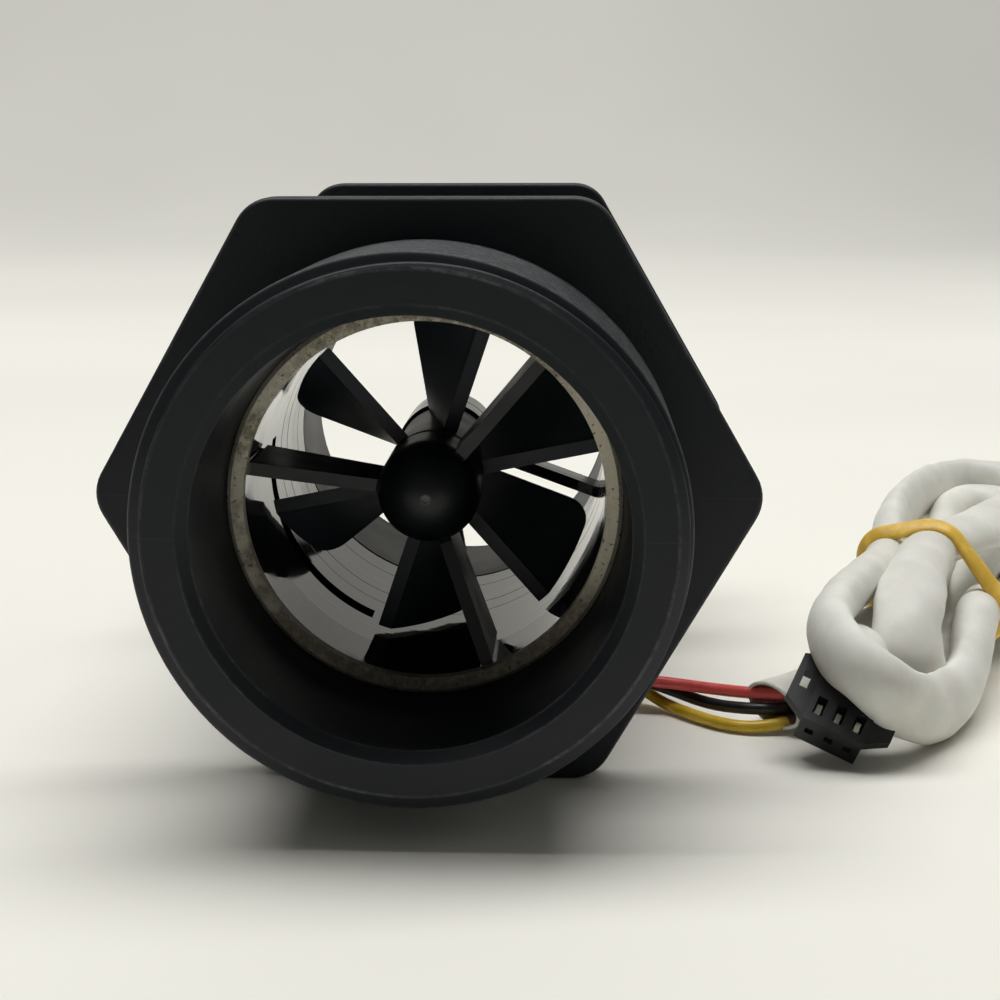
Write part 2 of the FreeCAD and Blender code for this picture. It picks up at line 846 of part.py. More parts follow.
def connector_wing():
    """The flared wing on the housing's left, with its slot."""
    points = [
        vec(0, wing_start, 0),
        vec(-wing_reach, wing_start + wing_flare, 0),
        vec(-wing_reach, housing_length - wing_flare, 0),
        vec(0, housing_length - wing_start, 0),
        vec(0.2, housing_length / 2, 0),
        vec(0, wing_start, 0),
    ]
    wing = Part.Face(Part.makePolygon(points)).extrude(vec(0, 0, -wing_thickness))
    slot_left = -wing_reach / 2 - wing_slot_width / 2
    low = (slot_left, wing_start + 2 * wing_flare, -wing_thickness - 1)
    high = (slot_left + wing_slot_width, low[1] + wing_slot_length, 1)
    wing = wing.cut(block(low, high))
    wing.translate(vec(0, 0, -wing_drop))
    return wing


def connector_housing():
    """The three-way housing with its wings, pin holes, wire holes and contact windows."""
    housing = block((0, 0, -housing_thickness), (housing_width, housing_length, 0))
    left = connector_wing()
    right = left.mirror(vec(housing_width / 2, 0, 0), vec(1, 0, 0))
    housing = housing.fuse(left).fuse(right)
    for index in range(way_count):
        x = way_centre(index)
        middle = -housing_thickness / 2
        half = pin_hole_size / 2
        hole = block((x - half, -1, middle - half), (x + half, housing_length + 1, middle + half))
        housing = housing.cut(hole)
        rear = block(
            (x - wire_radius - wire_hole_fit, housing_length - wire_room, middle - wire_radius - wire_hole_fit),
            (x + wire_radius + wire_hole_fit, housing_length + 1, middle + wire_radius + wire_hole_fit),
        )
        housing = housing.cut(rear)
        low = (x - window_width / 2, window_start, middle)
        high = (x + window_width / 2, window_start + window_length, 1)
        housing = housing.cut(block(low, high))
    return placed_connector(housing)


def connector_contacts():
    """The three crimped contacts inside the housing."""
    contacts = []
    middle = -housing_thickness / 2
    for index in range(way_count):
        x = way_centre(index)
        half = contact_width / 2
        low = (x - half, contact_front, middle - half)
        high = (x + half, housing_length - contact_rear, middle + half)
        contact = block(low, high)
        tang_low = (x - half * 0.7, window_start + 0.5, middle)
        tang_high = (x + half * 0.7, window_start + window_length - 0.5, -contact_drop)
        contact = contact.fuse(block(tang_low, tang_high))
        contacts.append(placed_connector(contact))
    return group(contacts)


def connector_wire(index):
    """One wire from the back of the housing to the hank."""
    x = way_centre(index)
    middle = -housing_thickness / 2
    start = vec(x, housing_length - wire_room, middle)
    reach = wire_room + wire_reach
    return placed_connector(Part.makeCylinder(wire_radius, reach, start, vec(0, 1, 0)))


def build():
    write("meter_body", meter_body())
    write("retaining_ring", retaining_ring())
    write("inlet_spider", inlet_spider())
    write("rotor_tube", tube(rotor_tube_bore, ring_radius, rotor_tube_front, rotor_tube_end))
    write("spacer_tube", spacer_tube())
    write("outlet_spider", outlet_spider())
    write("seal_ring", seal_ring())
    write("inlet_bush", bush(inlet_hub_end - bush_length))
    write("outlet_bush", bush(outlet_hub_front))
    write("rotor", rotor())
    write("rotor_shaft", rotor_shaft())
    write("rotor_magnet", rotor_magnet())
    write("magnet_cap", magnet_cap())
    write("thrust_washers", thrust_washers())
    write("sensor_cover", sensor_cover())
    write("cover_gasket", cover_gasket())
    write("cover_screws", cover_screws())
    write("circuit_board", circuit_board())
    write("board_screws", board_screws())
    write("hall_chip", hall_chip())
    write("board_capacitor", small_part(capacitor_size, capacitor_place))
    write("board_resistor", small_part(resistor_size, resistor_place))
    write("cable_grommet", cable_grommet())
    write("board_leads", board_leads())
    write("red_wire", cord("red wire", red_route, wire_radius))
    write("black_wire", cord("black wire", black_route, wire_radius))
    write("yellow_wire", cord("yellow wire", yellow_route, wire_radius))
    write("cable_lead", cord("sleeve lead", lead_route, sleeve_radius))
    write("cable_hank", cable_hank())
    write("rubber_band", rubber_band())
    write("connector_housing", connector_housing())
    write("connector_contacts", connector_contacts())
    for index, colour in enumerate(("red", "black", "yellow")):
        write("connector_wire_" + colour, connector_wire(index))


build()
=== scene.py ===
"""Looks of a turbine flow meter with pipe-threaded ends and a tied, sleeved cable.

Everything is in metres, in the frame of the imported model: +Y along the flow, +Z up, the origin
in the middle of the body.
"""
import math
import bmesh
import bpy
import numpy as np
from mathutils import Matrix, Vector


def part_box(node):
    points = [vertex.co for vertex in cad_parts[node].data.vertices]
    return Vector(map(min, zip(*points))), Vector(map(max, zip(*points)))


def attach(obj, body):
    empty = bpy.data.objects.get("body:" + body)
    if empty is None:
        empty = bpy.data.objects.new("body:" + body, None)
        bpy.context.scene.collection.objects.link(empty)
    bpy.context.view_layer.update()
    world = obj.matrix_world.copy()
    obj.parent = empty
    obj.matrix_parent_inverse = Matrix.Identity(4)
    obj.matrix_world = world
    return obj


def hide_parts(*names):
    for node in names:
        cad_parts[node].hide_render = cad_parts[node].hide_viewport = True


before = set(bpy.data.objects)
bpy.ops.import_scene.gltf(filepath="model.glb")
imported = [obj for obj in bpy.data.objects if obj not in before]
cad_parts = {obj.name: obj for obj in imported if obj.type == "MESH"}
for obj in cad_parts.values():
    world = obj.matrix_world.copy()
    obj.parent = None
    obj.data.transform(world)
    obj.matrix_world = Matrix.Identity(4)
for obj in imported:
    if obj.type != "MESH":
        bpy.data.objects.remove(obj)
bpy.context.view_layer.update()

bl_info = {
    "name": "Turbine flow meter",
    "version": (1, 0, 0),
    "blender": (4, 5, 0),
    "location": "View3D > Sidebar > Flow meter",
    "description": "Dresses a turbine flow meter: threads, rotor, sleeve, connector and stage",
    "category": "Object",
}

MM = 0.001
body_low, body_high = (np.array(corner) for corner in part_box("meter_body"))
half_length = float(body_high[1])
floor_height = float(body_low[2])
flat_half = -floor_height
floor_gap = 0.03 * MM  # between the floor and what lies flattened on it

# The floor's base tone near the object, painted lighter and darker by distance back to follow the lamps'
# light and shade, and the painted brightness of the glowing paper behind it, which falls off by distance
# back.
near_painted_tones = [
    (-0.10, 0.90), (-0.05, 0.91), (-0.02, 0.88), (0.02, 0.89),
    (0.09, 0.92), (0.20, 0.95), (0.42, 0.90),
]
far_painted_glow = [
    (0.10, 0.93), (0.20, 0.92), (0.40, 0.82), (0.60, 0.73),
    (0.99, 0.62), (1.10, 0.59), (1.20, 0.575), (1.40, 0.56),
]

# The wires' and the sleeve's routes: control points of one smooth line each.
red_route = [
    (0.0196, -0.00585, -0.0301),
    (0.0250, -0.00585, -0.0301),
    (0.0304, -0.0066, -0.0304),
    (0.0360, -0.0090, -0.0304),
    (0.0410, -0.0122, -0.0299),
    (0.0453, -0.0123, -0.0299),
    (0.0489, -0.0096, -0.0306),
]
black_route = [
    (0.0196, -0.0040, -0.0301),
    (0.0246, -0.0040, -0.0301),
    (0.0298, -0.0050, -0.0316),
    (0.0352, -0.0094, -0.0324),
    (0.0404, -0.0132, -0.0317),
    (0.0448, -0.0134, -0.0315),
    (0.0484, -0.0104, -0.0322),
]
yellow_route = [
    (0.0196, -0.00215, -0.0301),
    (0.0240, -0.00215, -0.0301),
    (0.0280, -0.0038, -0.0333),
    (0.0318, -0.0090, -0.0336),
    (0.0370, -0.0142, -0.0336),
    (0.0414, -0.0154, -0.0335),
    (0.0449, -0.0145, -0.0330),
]
sleeve_route = [
    (0.0430, -0.0144, -0.0308),
    (0.0472, -0.0096, -0.0305),
    (0.0514, -0.0044, -0.0308),
    (0.0566, 0.0002, -0.0315),
    (0.0610, 0.0060, -0.0313),
    (0.0646, 0.0130, -0.0306),
    (0.0688, 0.0240, -0.0310),
    (0.0740, 0.0370, -0.0314),
    (0.0794, 0.0500, -0.0315),
    (0.0836, 0.0615, -0.0314),
    (0.0880, 0.0690, -0.0313),
    (0.0936, 0.0706, -0.0311),
    (0.0961, 0.0652, -0.0310),
    (0.0952, 0.0560, -0.0306),
    (0.0916, 0.0460, -0.0300),
    (0.0860, 0.0340, -0.0290),
    (0.0806, 0.0230, -0.0270),
    (0.0752, 0.0130, -0.0246),
    (0.0724, 0.0040, -0.0252),
    (0.0700, -0.0050, -0.0286),
    (0.0666, -0.0130, -0.0298),
    (0.0618, -0.0202, -0.0294),
    (0.0576, -0.0255, -0.0267),
    (0.0536, -0.0273, -0.0232),
    (0.0496, -0.0242, -0.0206),
    (0.0493, -0.0155, -0.0193),
    (0.0526, -0.0060, -0.0186),
    (0.0570, 0.0035, -0.0184),
    (0.0616, 0.0130, -0.0186),
    (0.0638, 0.0240, -0.0174),
    (0.0666, 0.0355, -0.0166),
    (0.0710, 0.0480, -0.0170),
    (0.0760, 0.0595, -0.0174),
    (0.0826, 0.0676, -0.0176),
    (0.0914, 0.0666, -0.0178),
    (0.0948, 0.0570, -0.0176),
    (0.0912, 0.0450, -0.0166),
    (0.0840, 0.0335, -0.0158),
    (0.0766, 0.0225, -0.0158),
    (0.0676, 0.0130, -0.0160),
    (0.0644, 0.0040, -0.0172),
    (0.0618, -0.0045, -0.0188),
    (0.0602, -0.0108, -0.0228),
    (0.0612, -0.0120, -0.0276),
    (0.0646, -0.0050, -0.0306),
    (0.0674, 0.0040, -0.0306),
    (0.0706, 0.0130, -0.0298),
    (0.0754, 0.0240, -0.0260),
    (0.0804, 0.0360, -0.0238),
    (0.0858, 0.0470, -0.0220),
    (0.0896, 0.0550, -0.0208),
    (0.0884, 0.0616, -0.0204),
    (0.0822, 0.0616, -0.0204),
    (0.0788, 0.0546, -0.0208),
    (0.0762, 0.0450, -0.0222),
    (0.0720, 0.0310, -0.0238),
    (0.0686, 0.0200, -0.0240),
    (0.0664, 0.0130, -0.0244),
    (0.0615, 0.0065, -0.0252),
    (0.0556, 0.0000, -0.0258),
    (0.0536, -0.0060, -0.0252),
    (0.0540, -0.0118, -0.0234),
    (0.0544, -0.0158, -0.0238),
    (0.0532, -0.0184, -0.0248),
]

# The sleeve is limp and lies partly flattened. Each row gives a route point's number, the
# section's half width and half thickness there in mm, and the way its flat side faces.
sleeve_shape = [
    (0, 4.2, 2.8, (-0.5, -0.8, 0.3)),
    (1, 4.1, 2.7, (-0.6, -0.75, 0.3)),
    (3, 3.6, 3.0, (-0.5, -0.5, 0.7)),
    (8, 3.4, 3.2, (-0.3, 0, 0.95)),
    (10, 3.9, 2.8, (-0.6, 0.8, 0.1)),
    (11, 4.0, 2.7, (0.5, 0.85, 0.1)),
    (13, 3.7, 2.9, (0.95, 0.1, 0.2)),
    (15, 3.4, 3.1, (0.6, -0.1, 0.8)),
    (17, 3.3, 3.0, (0.8, -0.2, 0.5)),
    (18, 3.4, 3.0, (0.9, -0.3, 0.3)),
    (19, 4.0, 2.6, (0.85, -0.5, 0.15)),
    (20, 4.4, 2.55, (0.75, -0.65, 0.1)),
    (21, 4.6, 2.5, (0.4, -0.9, 0.15)),
    (22, 4.3, 2.5, (-0.2, -0.95, 0.2)),
    (23, 3.9, 2.5, (-0.6, -0.75, 0.3)),
    (24, 4.1, 2.55, (-0.9, -0.35, 0.3)),
    (25, 3.8, 2.7, (-0.9, 0.1, 0.4)),
    (26, 3.7, 2.8, (-0.85, 0.2, 0.5)),
    (27, 3.5, 2.9, (-0.8, 0.2, 0.6)),
    (28, 3.3, 3.0, (-0.85, 0.2, 0.5)),
    (29, 4.0, 2.7, (-0.95, 0.2, 0.2)),
    (30, 4.4, 2.55, (-0.97, 0.25, 0.1)),
    (32, 4.6, 2.5, (-0.8, 0.6, 0)),
    (33, 4.5, 2.5, (-0.2, 0.97, 0)),
    (34, 4.4, 2.5, (0.75, 0.65, 0)),
    (35, 4.3, 2.55, (0.97, -0.1, 0.1)),
    (36, 4.2, 2.6, (0.75, -0.4, 0.5)),
    (37, 4.3, 2.55, (0.35, -0.3, 0.9)),
    (38, 4.3, 2.55, (0.1, -0.3, 0.95)),
    (39, 3.6, 2.7, (0.05, -0.3, 0.95)),
    (40, 4.0, 2.6, (0, -0.35, 0.93)),
    (41, 4.7, 2.5, (-0.05, -0.6, 0.8)),
    (42, 4.5, 2.5, (-0.1, -0.95, 0.25)),
    (43, 4.4, 2.5, (0, -0.85, -0.5)),
    (44, 4.0, 2.6, (0, -0.3, -0.95)),
    (46, 3.3, 3.0, (0, -0.2, -0.95)),
    (48, 3.4, 3.1, (0.5, 0.1, -0.85)),
    (50, 3.7, 2.9, (0.9, 0.2, -0.3)),
    (51, 3.9, 2.8, (-0.1, 0.98, -0.1)),
    (53, 3.7, 2.9, (-0.9, 0.3, -0.1)),
    (55, 3.4, 3.1, (-0.8, 0, 0.6)),
    (57, 3.2, 3.0, (-0.5, 0, 0.85)),
    (59, 3.3, 3.1, (-0.3, 0.3, 0.9)),
    (62, 3.1, 2.8, (-0.1, -0.5, 0.85)),
    (63, 3.5, 2.6, (0.126, -0.673, 0.729)),
]


# ---------------------------------------------------------------- meshes

def new_mesh(name, points, faces):
    """A smooth mesh object from an N x 3 array of points and an M x 4 array of corner numbers."""
    mesh = bpy.data.meshes.new(name)
    mesh.vertices.add(len(points))
    mesh.vertices.foreach_set("co", np.asarray(points, dtype=np.float32).ravel())
    mesh.loops.add(faces.size)
    mesh.loops.foreach_set("vertex_index", faces.ravel().astype(np.int32))
    mesh.polygons.add(len(faces))
    mesh.polygons.foreach_set("loop_start", np.arange(0, faces.size, faces.shape[1], dtype=np.int32))
    mesh.polygons.foreach_set("loop_total", np.full(len(faces), faces.shape[1], dtype=np.int32))
    mesh.polygons.foreach_set("use_smooth", np.full(len(faces), True))
    mesh.update(calc_edges=True)
    mesh.validate()
    piece = bpy.data.objects.new(name, mesh)
    bpy.context.scene.collection.objects.link(piece)
    return piece


def grid_faces(rows, columns, close_rows, close_columns):
    """Quads of a rows x columns grid, whose edges may be joined up."""
    row = np.arange(rows if close_rows else rows - 1)
    column = np.arange(columns if close_columns else columns - 1)
    row, column = np.meshgrid(row, column, indexing="ij")
    next_row = (row + 1) % rows
    next_column = (column + 1) % columns
    quads = np.stack([row * columns + column, row * columns + next_column,
                      next_row * columns + next_column, next_row * columns + column], axis=-1)
    return quads.reshape(-1, 4)


def turned_outwards(piece, merge=0.0):
    """Turns a closed shell's normals outwards, after merging points nearer than merge."""
    work = bmesh.new()
    work.from_mesh(piece.data)
    if merge:
        bmesh.ops.remove_doubles(work, verts=work.verts, dist=merge)
        bmesh.ops.dissolve_degenerate(work, edges=work.edges, dist=merge)
    bmesh.ops.recalc_face_normals(work, faces=work.faces)
    work.to_mesh(piece.data)
    work.free()
    return piece


def smooth_line(name, route):
    """A NURBS curve through open control points."""
    curve = bpy.data.curves.new(name, "CURVE")
    curve.dimensions = "3D"
    curve.resolution_u = 12
    spline = curve.splines.new("NURBS")
    spline.points.add(len(route) - 1)
    for point, place in zip(spline.points, route):
        point.co = (*place, 1.0)
    spline.order_u = 3
    spline.use_endpoint_u = True
    return curve


def line_points(name, route):
    """Points read from the route's NURBS spline."""
    holder = bpy.data.objects.new(name, smooth_line(name, route))
    bpy.context.scene.collection.objects.link(holder)
    bpy.context.view_layer.update()
    mesh = bpy.data.meshes.new_from_object(holder)
    points = np.empty(len(mesh.vertices) * 3, dtype=np.float32)
    mesh.vertices.foreach_get("co", points)
    bpy.data.meshes.remove(mesh)
    bpy.data.objects.remove(holder)
    return points.reshape(-1, 3).astype(float)


def arc_length(points):
    """Distance along a line up to each of its points: the running sum of the chords."""
    return np.r_[0, np.cumsum(np.linalg.norm(np.diff(points, axis=0), axis=1))]


def evenly_spaced(points, step):
    """The same line with points a step apart: each coordinate interpolated over arc length."""
    run = arc_length(points)
    places = np.linspace(0, run[-1], max(8, int(round(run[-1] / step))))
    return np.stack([np.interp(places, run, points[:, axis]) for axis in range(3)], axis=1), places


def swept_tube(name, points, half_widths, half_heights, facings, corners=28):
    """A limp tube along a line.

    Each section's thin side is its facing with the part along the line taken off. Its outline
    is half_width * cos(a) across and half_height * sin(a) * |sin(a)| ^ e over, where e grows
    with the flattening, so that a flattened section has sharper edges. Where a section would
    go below the floor it is flattened on it.
    """
    tangent = np.gradient(points, axis=0)
    tangent /= np.linalg.norm(tangent, axis=1)[:, None]
    over = facings - tangent * np.sum(facings * tangent, axis=1)[:, None]
    over /= np.linalg.norm(over, axis=1)[:, None]
    across = np.cross(over, tangent)
    angle = np.linspace(0, 2 * math.pi, corners, endpoint=False)[None, :]
    sharpness = np.clip(half_widths / half_heights - 1, 0, 1)[:, None] * 0.3
    rise = np.sin(angle) * np.abs(np.sin(angle)) ** sharpness
    rings = (points[:, None, :]
             + across[:, None, :] * (half_widths[:, None] * np.cos(angle))[:, :, None]
             + over[:, None, :] * (half_heights[:, None] * rise)[:, :, None])
    rings[..., 2] = np.maximum(rings[..., 2], floor_height + floor_gap)
    faces = grid_faces(len(points), corners, False, True)
    return new_mesh(name, rings.reshape(-1, 3), faces), across, over


# ---------------------------------------------------------------- shader maths

class Socket:
    """One output of a node; arithmetic on it adds Math nodes."""

    def __init__(self, finish, link):
        self.finish = finish
        self.link = link

    def _math(self, operation, *values):
        return self.finish.node("ShaderNodeMath", {"operation": operation}, dict(enumerate(values)))

    def __add__(self, other):
        return self._math("ADD", self, other)

    __radd__ = __add__

    def __mul__(self, other):
        return self._math("MULTIPLY", self, other)

    __rmul__ = __mul__

    def __sub__(self, other):
        return self._math("SUBTRACT", self, other)

    def __rsub__(self, other):
        return self._math("SUBTRACT", other, self)

    def __truediv__(self, other):
        return self._math("DIVIDE", self, other)

    def __abs__(self):
        return self._math("ABSOLUTE", self)

    def power(self, other):
        return self._math("POWER", self, other)

    def largest(self, other):
        return self._math("MAXIMUM", self, other)

    def sine(self):
        return self._math("SINE", self)

    def between(self, low, high, from_value=0.0, to_value=1.0):
        """A smooth step from from_value at low to to_value at high."""
        settings = {"interpolation_type": "SMOOTHSTEP"}
        values = {"Value": self, "From Min": low, "From Max": high,
                  "To Min": from_value, "To Max": to_value}
        return self.finish.node("ShaderNodeMapRange", settings, values)


class Finish:
    """A node material that is written as expressions."""

    def __init__(self, name):
        self.material = bpy.data.materials.new(name)
        self.material.use_nodes = True
        self.tree = self.material.node_tree
        self.shader = self.tree.nodes["Principled BSDF"]
        self.place = None

    def node(self, kind, settings, values, output=0):
        """Adds a node: its settings first, then its sockets' values or links."""
        added = self.tree.nodes.new(kind)
        for name, value in settings.items():
            if name == "stops":
                ramp = added.color_ramp.elements
                while len(ramp) < len(value):
                    ramp.new(0.5)
                for element, (position, colour) in zip(ramp, value):
                    element.position = position
                    element.color = (*colour, 1.0)
            else:
                setattr(added, name, value)
        for name, value in values.items():
            self.feed(added.inputs[name], value)
        return Socket(self, added.outputs[output])

    def feed(self, socket, value):
        if isinstance(value, Socket):
            self.tree.links.new(value.link, socket)
        elif socket.type == "RGBA" and len(value) == 3:
            socket.default_value = (*value, 1.0)
        else:
            socket.default_value = value

    def position(self):
        """Object coordinates."""
        if self.place is None:
            self.place = self.node("ShaderNodeTexCoord", {}, {}, "Object")
        return self.place

    def axis(self, index):
        return self.node("ShaderNodeSeparateXYZ", {}, {0: self.position()}, index)

    def noise(self, scale, detail=3.0, stretch=(1, 1, 1), roughness=0.5):
        place = self.node("ShaderNodeMapping", {}, {"Vector": self.position(), "Scale": stretch})
        return self.node("ShaderNodeTexNoise", {}, {
            "Vector": place, "Scale": scale, "Detail": detail, "Roughness": roughness})

    def mix(self, mask, first, second):
        """Blends two colours by a mask."""
        return self.node("ShaderNodeMix", {"data_type": "RGBA"}, {0: mask, 6: first, 7: second}, 2)

    def bump(self, height, strength, distance):
        values = {"Height": height, "Strength": strength, "Distance": distance}
        return self.node("ShaderNodeBump", {}, values)

    def set(self, **sockets):
        """Sets the shader's sockets; an underscore stands for a space."""
        for name, value in sockets.items():
            self.feed(self.shader.inputs[name.replace("_", " ")], value)
        return self.material


def radius_from_axis(finish):
    """Distance from the flow axis: the square root of x squared plus z squared."""
    x = finish.axis(0)
    z = finish.axis(2)
    return (x * x + z * z).power(0.5)


def hexagon_distance(finish):
    """Distance from the axis measured square to the nearest of the hexagon's flats."""
    x = finish.axis(0)
    z = finish.axis(2)
    cos_flat = math.cos(math.radians(30))
    leaning = abs(x * cos_flat + z * 0.5)
    other = abs(x * cos_flat - z * 0.5)
    return leaning.largest(other).largest(abs(z))


def line_at(value, middle, half_width):
    """1 at a value and 0 a half width away from it."""
    return (1 - abs(value - middle) / half_width).largest(0.0)


def body_finish(settings):
    """Matt moulded plastic: fine grain, faint clouding and a mould line; the rims and the thread crests
    are painted paler, partly as scuffing and dusty crests and partly as painted highlights.
    """
    finish = Finish("body_plastic")
    along = abs(finish.axis(1))
    radius = radius_from_axis(finish)
    flats = hexagon_distance(finish)
    scuff = finish.noise(700, 5, roughness=0.7).between(0.46, 0.60)
    patch = finish.noise(60, 3).between(0.40, 0.62, 0.25, 1.0)
    wear = (0.4 + 0.6 * scuff) * patch
    rim = flats.between(flat_half - 0.7 * MM, flat_half - 0.1 * MM)
    plate_face = along.between(31.0 * MM, 31.9 * MM) * (1 - along.between(32.1 * MM, 32.3 * MM))
    on_stub = along.between(32.2 * MM, 32.6 * MM)
    on_face = along.between(half_length - 0.5 * MM, half_length - 0.2 * MM)
    near_mouth = along.between(half_length - 1.8 * MM, half_length - 1.3 * MM)
    crest = radius.between(29.50 * MM, 29.75 * MM) * on_stub
    face_rim = line_at(radius, 28.15 * MM, 0.28 * MM) * on_face
    mouth_rim = line_at(radius, 24.5 * MM, 0.22 * MM) * on_face
    inner_rim = line_at(radius, 23.3 * MM, 0.16 * MM) * near_mouth
    mould_line = line_at(abs(finish.axis(2)), 0.0, 0.09 * MM) * radius.between(24.4 * MM, 25 * MM)
    # Painted highlight: the thread crests are painted paler, partly for dusty crests and partly for the
    # highlight that they catch.
    crest_dust_and_highlight = crest * 0.5 * (0.55 + 0.45 * scuff)
    # Painted highlight: the face, mouth and inner rims and the plate's outer edges are painted paler,
    # partly as scuffing and partly as the highlights along them.
    edge = (face_rim + 0.45 * mouth_rim + 0.8 * inner_rim) * wear + 0.25 * rim * plate_face * wear
    cloud = finish.noise(55, 5, roughness=0.6).between(0.35, 0.75)
    base = finish.mix(cloud, settings.body_dark, settings.body_light)
    # The pale tone mixed in here stands for scuffing and for painted highlight on rims and crests.
    worn_and_highlit = finish.mix(edge + crest_dust_and_highlight + 0.10 * mould_line, base, settings.body_wear_and_highlight)
    grain = finish.noise(1900, 2) + 0.4 * finish.noise(500, 3)
    return finish.set(Base_Color=worn_and_highlit, Roughness=0.44 + 0.14 * cloud + 0.1 * edge,
                      Specular_IOR_Level=0.32, Normal=finish.bump(grain, 0.22, 0.12 * MM))


def bore_finish(name, roughness, base, joints=()):
    """Glossy moulding with fine turned rings, smears of water scale and dark joint lines."""
    finish = Finish(name)
    along = finish.axis(1)
    rings = (along * 5200.0).sine() * 0.5 + 0.5
    coarse = (along * 1300.0 + 3.0 * finish.noise(40, 2)).sine().between(0.88, 1.0)
    smear = finish.noise(130, 4, (1, 0.35, 1)).between(0.45, 0.8)
    colour = finish.mix(smear * 0.5, base, (0.024, 0.025, 0.026))
    shade = 0.0
    for place, half_width in joints:
        shade = line_at(along, place * MM, half_width * MM) + shade
    height = rings * 0.3 + finish.noise(700, 2) + 0.8 * coarse
    if joints:
        height = height - 6.0 * shade
    return finish.set(Base_Color=colour, Roughness=roughness + 0.10 * smear + 0.5 * shade,
                      Specular_IOR_Level=0.72, Normal=finish.bump(height, 0.10, 0.06 * MM))


def ring_finish():
    """Dull speckled metal with pale patches at the left, darker and browner towards the bottom, and
    painted light on its lower right, where light falls.
    """
    finish = Finish("ring_metal")
    x = finish.axis(0)
    z = finish.axis(2)
    radius = radius_from_axis(finish)
    fleck = finish.noise(900, 4, roughness=0.7).between(0.40, 0.66)
    pit = finish.noise(2300, 2).between(0.62, 0.72)
    # Darker and browner towards the bottom.
    low = z.between(6 * MM, -19 * MM)
    # Pale patches on the left.
    pale_left_patches = x.between(-9 * MM, -20 * MM) * finish.noise(160, 3).between(0.38, 0.56)
    blot = x.between(-17 * MM, -21 * MM) * finish.noise(110, 4, roughness=0.7).between(0.53, 0.66)
    # Painted light: the lower right of the ring is painted pale, where light falls on it.
    right = x.between(13 * MM, 20 * MM) * z.between(-14 * MM, -6 * MM)
    lip = radius.between(22.2 * MM, 22.5 * MM)
    colour = finish.mix(fleck, (0.27, 0.24, 0.175), (0.66, 0.61, 0.475))
    colour = finish.mix(low * 0.6, colour, (0.15, 0.12, 0.088))
    colour = finish.mix(pale_left_patches * 0.7, colour, (0.80, 0.76, 0.63))
    colour = finish.mix(blot * 0.7, colour, (0.13, 0.11, 0.07))
    # Painted light on the lower right.
    colour = finish.mix(right * 0.85, colour, (1.0, 0.93, 0.74))
    colour = finish.mix(lip * 0.5, colour, (0.58, 0.55, 0.47))
    colour = finish.mix(pit * 0.8, colour, (0.05, 0.042, 0.03))
    return finish.set(Base_Color=colour, Metallic=0.25, Roughness=0.5 + 0.2 * fleck,
                      Normal=finish.bump(fleck, 0.35, 0.08 * MM))


def rotor_finish():
    """Satin moulding with faint clouding, darker towards its front end."""
    finish = Finish("rotor_plastic")
    along = finish.axis(1)
    front = along.between(-18.2 * MM, -19.1 * MM)
    cloud = finish.noise(150, 3).between(0.4, 0.7)
    colour = finish.mix(cloud, (0.060, 0.073, 0.088), (0.080, 0.093, 0.108))
    colour = finish.mix(front * 0.5, colour, (0.012, 0.0135, 0.0150))
    return finish.set(Base_Color=colour, Roughness=0.34 + 0.1 * cloud, Specular_IOR_Level=0.26,
                      Normal=finish.bump(finish.noise(1200, 2), 0.10, 0.05 * MM))


def plain_finish(name, dark, light, roughness, metallic=0.0, scale=600, strength=0.12):
    """A finish between two close tones with a fine surface grain."""
    finish = Finish(name)
    cloud = finish.noise(scale * 0.25, 3).between(0.35, 0.68)
    grain = finish.noise(scale, 3)
    return finish.set(Base_Color=finish.mix(cloud, dark, light), Roughness=roughness + 0.1 * cloud,
                      Metallic=metallic, Normal=finish.bump(grain, strength, 0.06 * MM))


def insulation_finish(name, dark, light):
    """Smooth wire insulation with a soft shine."""
    finish = Finish(name)
    cloud = finish.noise(300, 3).between(0.35, 0.7)
    return finish.set(Base_Color=finish.mix(cloud, dark, light), Roughness=0.30 + 0.12 * cloud,
                      Normal=finish.bump(finish.noise(900, 2), 0.06, 0.05 * MM),
                      Subsurface_Weight=0.15, Subsurface_Scale=0.5 * MM)


def sleeve_finish(settings):
    """Limp off-white sleeve: satin, faintly soiled, with a fine bumpy grain."""
    finish = Finish("sleeve_vinyl")
    soft = finish.noise(90, 4, roughness=0.6).between(0.36, 0.7)
    grime = finish.noise(38, 5, roughness=0.7).between(0.56, 0.78)
    colour = finish.mix(soft, settings.sleeve_dark, settings.sleeve_light)
    colour = finish.mix(grime * 0.35, colour, (0.47, 0.45, 0.40))
    height = finish.noise(260, 3) + 0.25 * finish.noise(1500, 2)
    return finish.set(Base_Color=colour, Roughness=0.42 + 0.12 * soft,
                      Normal=finish.bump(height, 0.12, 0.22 * MM),
                      Subsurface_Weight=0.12, Subsurface_Scale=1.2 * MM)


def band_finish(settings):
    """Yellow rubber with a slight bloom."""
    finish = Finish("band_rubber")
    bloom = finish.noise(420, 4).between(0.40, 0.72)
    colour = finish.mix(bloom, settings.band_dark, settings.band_light)
    return finish.set(Base_Color=colour, Roughness=0.40 + 0.15 * bloom,
                      Normal=finish.bump(finish.noise(1400, 2), 0.12, 0.06 * MM),
                      Subsurface_Weight=0.2, Subsurface_Scale=0.8 * MM)


def dress(node, material):
    """Gives a CAD node's object one material."""
    slots = bpy.data.objects[node].material_slots
    if not slots:
        bpy.data.objects[node].data.materials.append(material)
    for slot in bpy.data.objects[node].material_slots:
        slot.material = material


# ---------------------------------------------------------------- settings

def colour_property(name, description, default):
    return bpy.props.FloatVectorProperty(name=name, description=description, default=default,
                                         size=3, subtype="COLOR", min=0, max=1)


